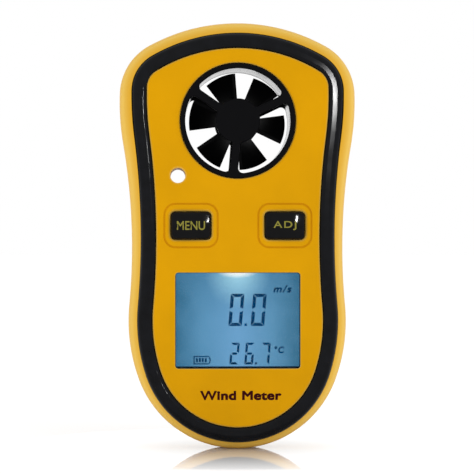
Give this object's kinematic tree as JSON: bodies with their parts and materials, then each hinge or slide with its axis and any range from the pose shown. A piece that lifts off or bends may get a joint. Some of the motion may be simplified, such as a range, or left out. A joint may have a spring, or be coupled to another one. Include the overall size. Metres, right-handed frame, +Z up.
{
  "type": "handheld anemometer",
  "caption": "Handheld wind and temperature meter: two-shell case with rubber bands, a ducted impeller behind guards, two keys, a display and a coin cell door.",
  "frame": {"origin": "bottom centre of the case's bounding box, standing upright on its rounded lower end", "axes": "+Z up the length of the case towards the fan, -Y out of the display face, +X to the right as the display is read"},
  "size_m": [0.0582, 0.0189, 0.105],
  "materials": {
    "case_shell": "satin",
    "rubber_band": "glossy",
    "guard_black": "satin",
    "duct_black": "glossy",
    "impeller_black": "satin",
    "shaft_steel": "polished",
    "bearing_brass": "turned",
    "magnet": "plated",
    "key_black": "glossy",
    "switch_housing": "matte",
    "switch_stem": "matte",
    "window_clear": "clear",
    "adhesive": "matte",
    "gasket_rubber": "matte",
    "polariser_film": "clear",
    "display_glass": "clear",
    "guide_acrylic": "clear",
    "led_white": "glossy",
    "holder_plastic": "matte",
    "zebra_rubber": "matte",
    "board_green": "solder mask",
    "chip_black": "matte",
    "crystal_can": "satin",
    "capacitor_tan": "matte",
    "bead_epoxy": "glossy",
    "cell_steel": "brushed",
    "contact_metal": "plated",
    "screw_steel": "plated"
  },
  "bodies": {
    "case": {"front_shell": "case_shell", "rear_shell": "case_shell", "front_band": "rubber_band", "rear_band": "rubber_band", "front_guard": "guard_black", "rear_guard": "guard_black", "duct_sleeve": "duct_black", "front_bearing": "bearing_brass", "rear_bearing": "bearing_brass", "mode_switch_body": "switch_housing", "set_switch_body": "switch_housing", "display_window": "window_clear", "window_adhesive": "adhesive", "display_gasket": "gasket_rubber", "front_polariser": "polariser_film", "rear_polariser": "polariser_film", "display_front_glass": "display_glass", "display_rear_glass": "display_glass", "light_guide": "guide_acrylic", "backlight_led": "led_white", "display_holder": "holder_plastic", "zebra_strip": "zebra_rubber", "main_board": "board_green", "controller_chip": "chip_black", "speed_sensor": "chip_black", "clock_crystal": "crystal_can", "chip_capacitors": "capacitor_tan", "temperature_bead": "bead_epoxy", "coin_cell": "cell_steel", "negative_contact": "contact_metal", "positive_contact": "contact_metal", "case_screws": "screw_steel", "board_screws": "screw_steel"},
    "impeller": {"impeller": "impeller_black", "impeller_shaft": "shaft_steel", "impeller_magnets": "magnet"},
    "mode_key": {"mode_button": "key_black", "mode_switch_stem": "switch_stem"},
    "set_key": {"set_button": "key_black", "set_switch_stem": "switch_stem"},
    "battery_door": {"battery_door": "guard_black", "battery_door_seal": "gasket_rubber"}
  },
  "joints": [
    {"name": "impeller_spin", "type": "hinge", "parent": "case", "child": "impeller", "pos_m": [0, 0, 0.0807], "axis": [0, 1, 0], "continuous": true},
    {"name": "mode_key_press", "type": "slide", "parent": "case", "child": "mode_key", "axis": [0, 1, 0], "range_m": [0, 0.0005], "stiffness_N_per_m": 800, "springref_m": -0.0012},
    {"name": "set_key_press", "type": "slide", "parent": "case", "child": "set_key", "axis": [0, 1, 0], "range_m": [0, 0.0005], "stiffness_N_per_m": 800, "springref_m": -0.0012},
    {"name": "battery_door_twist", "type": "hinge", "parent": "case", "child": "battery_door", "pos_m": [0, 0, 0.03], "axis": [0, 1, 0], "range_deg": [0, 50]}
  ]
}
